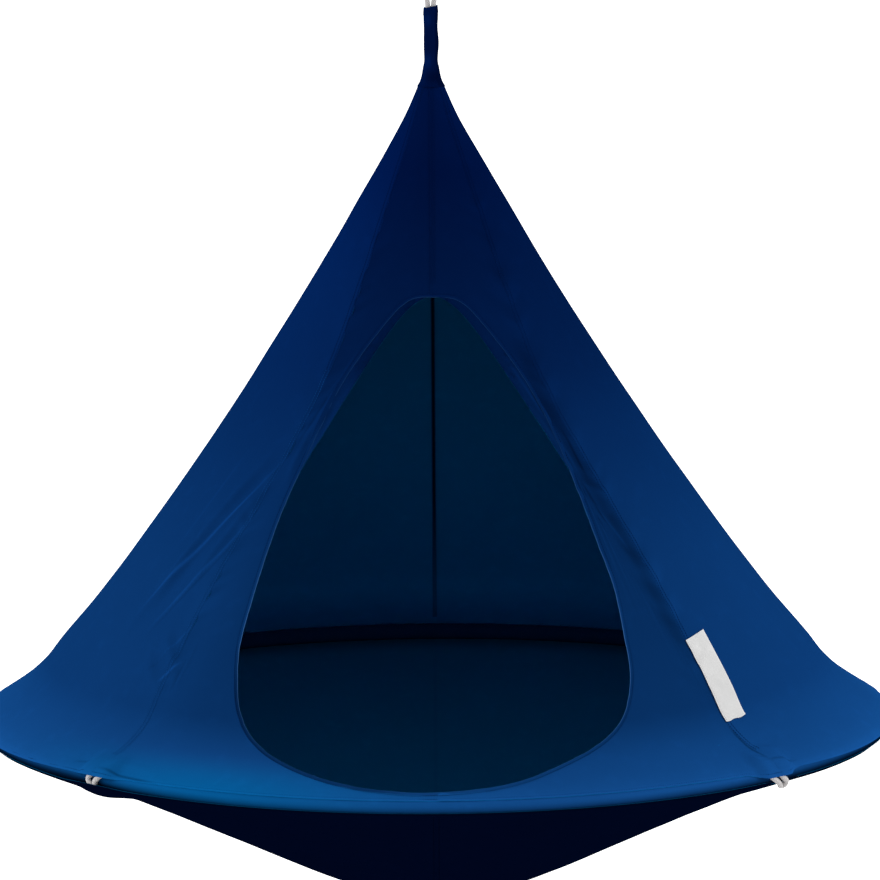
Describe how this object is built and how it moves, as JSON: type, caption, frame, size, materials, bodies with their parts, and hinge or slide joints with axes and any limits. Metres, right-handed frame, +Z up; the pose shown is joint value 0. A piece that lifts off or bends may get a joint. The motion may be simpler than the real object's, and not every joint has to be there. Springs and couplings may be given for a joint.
{
  "type": "hanging tent",
  "caption": "Hanging tent: blue cloth cone on a round aluminium ring, rope legs inside its corner seams, cone floor below, hung by a steel ring and snap hook.",
  "frame": {"origin": "inside top of the snap hook's bow, where it rests on what carries it", "axes": "+Z up along the tent's middle line, -Y towards the doorway, +X to the right of someone looking in"},
  "size_m": [1.4998, 1.4983, 1.6524],
  "materials": {
    "canopy_cloth": "matte",
    "floor_cloth": "matte",
    "binding_cloth": "matte",
    "tape_cloth": "matte",
    "label_cloth": "matte",
    "rope_fibre": "matte",
    "tube_metal": "satin",
    "hook_steel": "polished"
  },
  "bodies": {
    "snap_hook": {"snap_hook_body": "hook_steel", "gate_pin": "hook_steel"},
    "gate": {"snap_hook_gate": "hook_steel"},
    "steel_ring": {"hanging_ring": "hook_steel"},
    "tent": {"rope_front": "rope_fibre", "rope_rear": "rope_fibre", "ring_tube_front": "tube_metal", "ring_tube_right": "tube_metal", "ring_tube_rear": "tube_metal", "ring_tube_left": "tube_metal", "ring_ferrule_front": "tube_metal", "ring_ferrule_right": "tube_metal", "ring_ferrule_rear": "tube_metal", "ring_ferrule_left": "tube_metal", "rim_sleeve_front": "canopy_cloth", "rim_sleeve_right": "canopy_cloth", "rim_sleeve_rear": "canopy_cloth", "rim_sleeve_left": "canopy_cloth", "canopy_front_left": "canopy_cloth", "canopy_front_right": "canopy_cloth", "canopy_side_left": "canopy_cloth", "canopy_side_right": "canopy_cloth", "canopy_rear_left": "canopy_cloth", "canopy_rear_right": "canopy_cloth", "door_binding": "binding_cloth", "seam_tape_front_right": "tape_cloth", "seam_tape_rear_right": "tape_cloth", "seam_tape_rear": "tape_cloth", "seam_tape_rear_left": "tape_cloth", "seam_tape_front_left": "tape_cloth", "neck_sleeve": "canopy_cloth", "floor_left": "floor_cloth", "floor_right": "floor_cloth", "floor_seam_tape": "tape_cloth", "label": "label_cloth"}
  },
  "joints": [
    {"name": "gate_hinge", "type": "hinge", "parent": "snap_hook", "child": "gate", "pos_m": [0.017, 0, -0.0468], "axis": [0, -1, 0], "range_deg": [0, 30], "stiffness_Nm_per_rad": 0.25, "springref_deg": -17.19},
    {"name": "fore_aft_swing", "type": "hinge", "parent": "snap_hook", "child": "steel_ring", "pos_m": [0, 0, -0.068], "axis": [1, 0, 0], "range_deg": [-40, 40]},
    {"name": "sideways_swing", "type": "hinge", "parent": "steel_ring", "child": "tent", "pos_m": [0, 0, -0.10777], "axis": [0, 1, 0], "range_deg": [-40, 40]}
  ]
}
